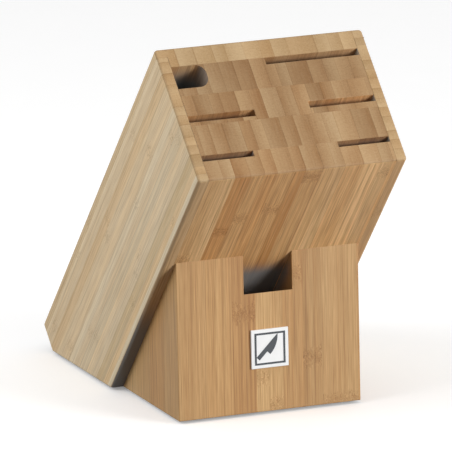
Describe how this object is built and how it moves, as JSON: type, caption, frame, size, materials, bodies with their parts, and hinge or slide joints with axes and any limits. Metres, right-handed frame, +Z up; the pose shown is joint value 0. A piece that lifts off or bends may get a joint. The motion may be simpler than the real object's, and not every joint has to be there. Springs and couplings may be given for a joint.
{
  "type": "knife block",
  "caption": "Empty slanted bamboo knife block on a wedge base, with blade slots, a round-cornered hole for a steel and a front channel for shears.",
  "frame": {"origin": "on the worktop, under the centre of the bounding box", "axes": "+Z up, +X to the right seen from the front, the front of the block and its base towards -Y"},
  "size_m": [0.12, 0.2466, 0.2061],
  "materials": {
    "bamboo_cheek": "satin oiled edge-glued bamboo, pale",
    "bamboo_back": "satin oiled edge-glued bamboo, pale tan",
    "bamboo_core": "satin oiled edge-glued bamboo, mid tan, end grain at the top",
    "bamboo_base": "satin oiled edge-glued bamboo, upright grain",
    "dowel_wood": "plain turned hardwood, hidden in the joint",
    "badge_white": "smooth white enamel",
    "badge_dark": "dark blue-grey enamel",
    "foot_pad": "matt"
  },
  "bodies": {
    "root": {"back_board": "bamboo_back", "left_cheek": "bamboo_cheek", "right_cheek": "bamboo_cheek", "rear_core_board": "bamboo_core", "second_core_board": "bamboo_core", "third_core_board": "bamboo_core", "front_core_board": "bamboo_core", "left_slot_strip": "bamboo_core", "right_slot_strip": "bamboo_core", "base_front_board": "bamboo_base", "base_second_board": "bamboo_base", "base_third_board": "bamboo_base", "base_rear_board": "bamboo_base", "joint_dowels": "dowel_wood", "badge_plate": "badge_white", "badge_border": "badge_dark", "badge_emblem": "badge_dark", "foot_front_left": "foot_pad", "foot_front_right": "foot_pad", "foot_rear_left": "foot_pad", "foot_rear_right": "foot_pad"}
  },
  "joints": []
}
